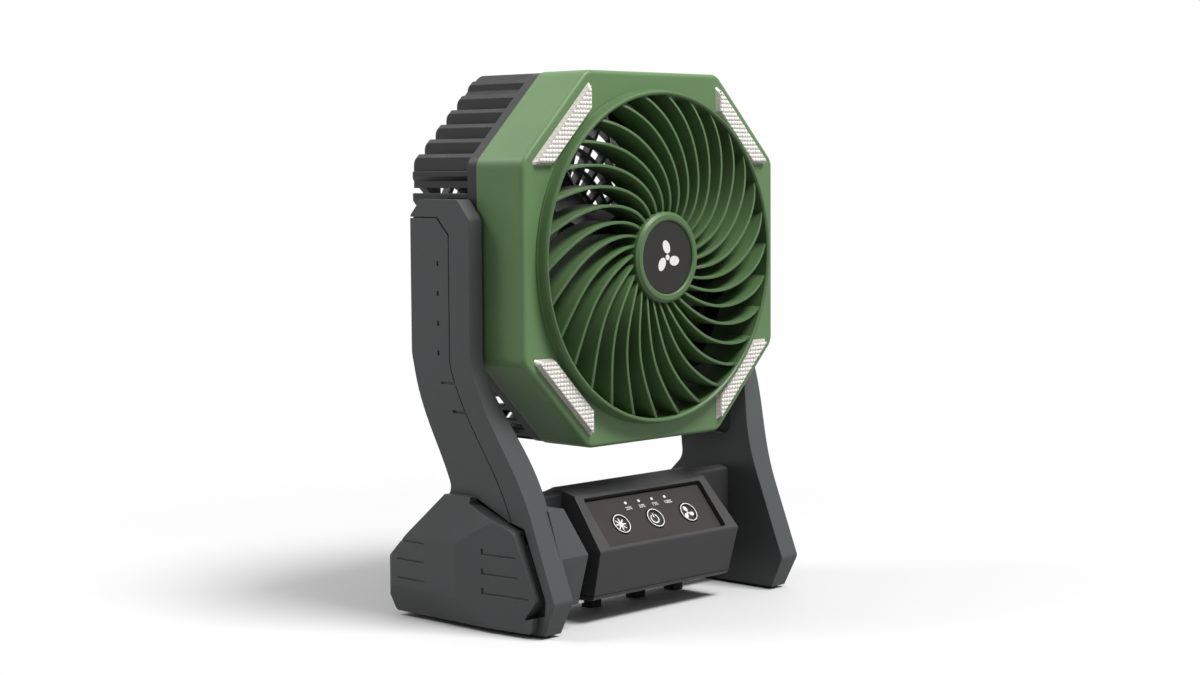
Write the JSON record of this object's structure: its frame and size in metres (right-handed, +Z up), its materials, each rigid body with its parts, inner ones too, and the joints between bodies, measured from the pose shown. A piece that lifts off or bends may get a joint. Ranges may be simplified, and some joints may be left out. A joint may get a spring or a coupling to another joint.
{
  "type": "portable camping fan",
  "caption": "Tabletop fan with an octagonal spiral-grille head that tilts in a yoke stand, corner lights, and a control box with push buttons.",
  "frame": {"origin": "middle of the footprint, on the table", "axes": "+Z up; +X to the right seen from the front; the grille and controls face -Y"},
  "size_m": [0.224, 0.1206, 0.2955],
  "materials": {
    "green_shell": "fine satin texture",
    "cage_plastic": "fine satin texture",
    "stand_plastic": "fine satin texture",
    "rotor_plastic": "polished",
    "lens": "clear plastic with a pebbled pattern, lit from behind by white boards",
    "badge": "smooth",
    "panel": "smooth film",
    "button": "smooth, dished",
    "indicator": "clear light pipe",
    "switch": "moulded",
    "circuit_board": "white solder mask",
    "motor_steel": "plated",
    "steel": "plated",
    "nylon": "natural",
    "cell_wrap": "shrink wrap",
    "rubber": "matt"
  },
  "bodies": {
    "stand": {"arm_frame_left": "stand_plastic", "arm_frame_right": "stand_plastic", "arm_cover_left": "stand_plastic", "arm_cover_right": "stand_plastic", "battery_cells_left": "cell_wrap", "battery_cells_right": "cell_wrap", "foot_pad_left": "rubber", "foot_pad_right": "rubber", "pivot_bush_left": "nylon", "pivot_bush_right": "nylon", "crossbar_shell": "stand_plastic", "crossbar_base": "stand_plastic", "control_panel": "panel", "control_board": "circuit_board", "button_switches": "switch", "indicator_lights": "indicator", "charge_port": "steel", "bar_feet": "rubber", "base_screws": "steel"},
    "head": {"front_shell": "green_shell", "front_grille": "green_shell", "hub_badge": "badge", "light_upper_right": "lens", "light_lower_right": "lens", "light_lower_left": "lens", "light_upper_left": "lens", "led_boards": "circuit_board", "rear_cage": "cage_plastic", "rear_guard": "cage_plastic", "motor_can": "motor_steel", "motor_screws": "steel", "tilt_pin_left": "steel", "tilt_pin_right": "steel", "tilt_washer_left": "rubber", "tilt_washer_right": "rubber", "pivot_screw_left": "steel", "pivot_screw_right": "steel"},
    "rotor": {"fan_rotor": "rotor_plastic", "rotor_shaft": "steel"},
    "light_button": {"light_button": "button"},
    "power_button": {"power_button": "button"},
    "fan_button": {"fan_button": "button"}
  },
  "joints": [
    {"name": "head_tilt", "type": "hinge", "parent": "stand", "child": "head", "pos_m": [0, 0.0105, 0.195], "axis": [1, 0, 0], "range_deg": [-180, 90]},
    {"name": "fan_spin", "type": "hinge", "parent": "head", "child": "rotor", "pos_m": [0, 0, 0.195], "axis": [0, 1, 0], "continuous": true},
    {"name": "light_press", "type": "slide", "parent": "stand", "child": "light_button", "axis": [0, 0.7661, -0.6427], "range_m": [0, 0.0006], "stiffness_N_per_m": 1500},
    {"name": "power_press", "type": "slide", "parent": "stand", "child": "power_button", "axis": [0, 0.7661, -0.6427], "range_m": [0, 0.0006], "stiffness_N_per_m": 1500},
    {"name": "fan_press", "type": "slide", "parent": "stand", "child": "fan_button", "axis": [0, 0.7661, -0.6427], "range_m": [0, 0.0006], "stiffness_N_per_m": 1500}
  ]
}
